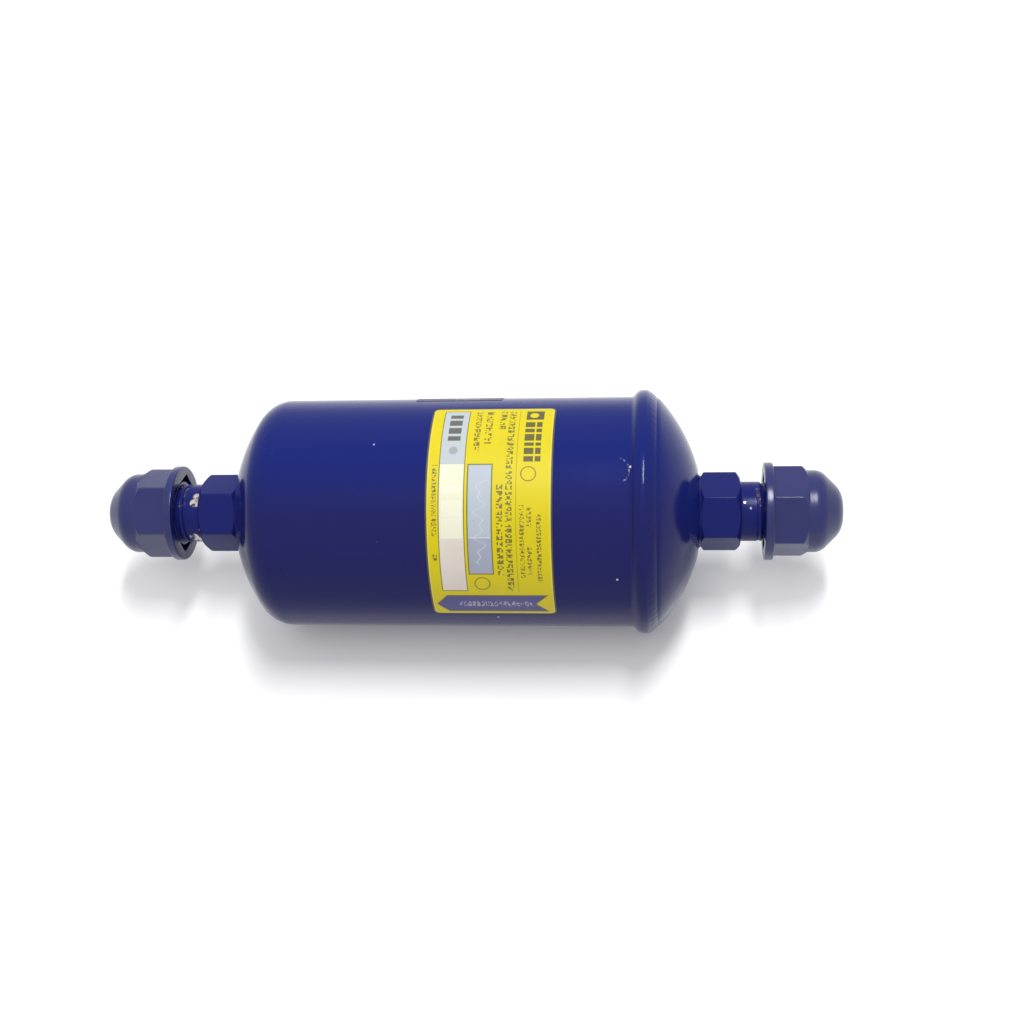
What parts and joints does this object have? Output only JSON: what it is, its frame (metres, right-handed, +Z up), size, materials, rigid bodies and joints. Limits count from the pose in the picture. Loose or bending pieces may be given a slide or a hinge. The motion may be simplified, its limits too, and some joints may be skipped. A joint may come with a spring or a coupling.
{
  "type": "filter drier",
  "caption": "Hermetic liquid-line filter drier: a blue steel canister with dished ends, flared screw connections, hexagonal screw caps and a desiccant core inside.",
  "frame": {"origin": "on the canister's axis, halfway between the noses of the two caps", "axes": "+X along the canister's axis towards the inlet, +Z up as the part lies with its label facing up and to the front (-Y)"},
  "size_m": [0.237, 0.0774, 0.0774],
  "materials": {
    "blue_paint": "glossy deep blue powder coat",
    "painted_steel": "glossy deep blue paint over steel, worn to bright metal in specks",
    "cap_plastic": "moulded dark blue nylon",
    "seal_rubber": "matt black rubber",
    "plated_steel": "zinc plated pressing",
    "screen_wire": "woven stainless wire",
    "pad_felt": "needled polyester felt",
    "gasket_felt": "pressed wool felt",
    "desiccant": "rough moulded molecular sieve and alumina",
    "spring_wire": "drawn spring wire",
    "label_film": null,
    "sticker_film": "dark printed film with pale specks"
  },
  "bodies": {
    "vessel": {"shell": "blue_paint", "end_cap": "blue_paint", "seam_weld": "blue_paint", "inlet_fitting": "painted_steel", "outlet_fitting": "painted_steel", "inlet_braze": "painted_steel", "outlet_braze": "painted_steel", "support_plate": "plated_steel", "outlet_screen": "screen_wire", "filter_pad": "pad_felt", "core_gasket": "gasket_felt", "desiccant_core": "desiccant", "spring_plate": "plated_steel", "spring": "spring_wire", "label": "label_film", "date_sticker": "sticker_film"},
    "inlet_seal": {"inlet_seal": "seal_rubber"},
    "inlet_cap": {"inlet_cap": "cap_plastic"},
    "outlet_seal": {"outlet_seal": "seal_rubber"},
    "outlet_cap": {"outlet_cap": "cap_plastic"}
  },
  "joints": [
    {"name": "inlet_cap_advance", "type": "slide", "parent": "vessel", "child": "inlet_seal", "axis": [1, 0, 0], "range_m": [0, 0.0112]},
    {"name": "inlet_cap_turn", "type": "hinge", "parent": "inlet_seal", "child": "inlet_cap", "pos_m": [0.09397, 0, 0], "axis": [1, 0, 0], "range_deg": [0, 2520]},
    {"name": "outlet_cap_advance", "type": "slide", "parent": "vessel", "child": "outlet_seal", "axis": [-1, 0, 0], "range_m": [0, 0.0112]},
    {"name": "outlet_cap_turn", "type": "hinge", "parent": "outlet_seal", "child": "outlet_cap", "pos_m": [-0.09397, 0, 0], "axis": [-1, 0, 0], "range_deg": [0, 2520]}
  ],
  "couplings": [
    {"joint": "inlet_cap_advance", "follows": "inlet_cap_turn", "m_per_rad": 0.00025266},
    {"joint": "outlet_cap_advance", "follows": "outlet_cap_turn", "m_per_rad": 0.00025266}
  ]
}
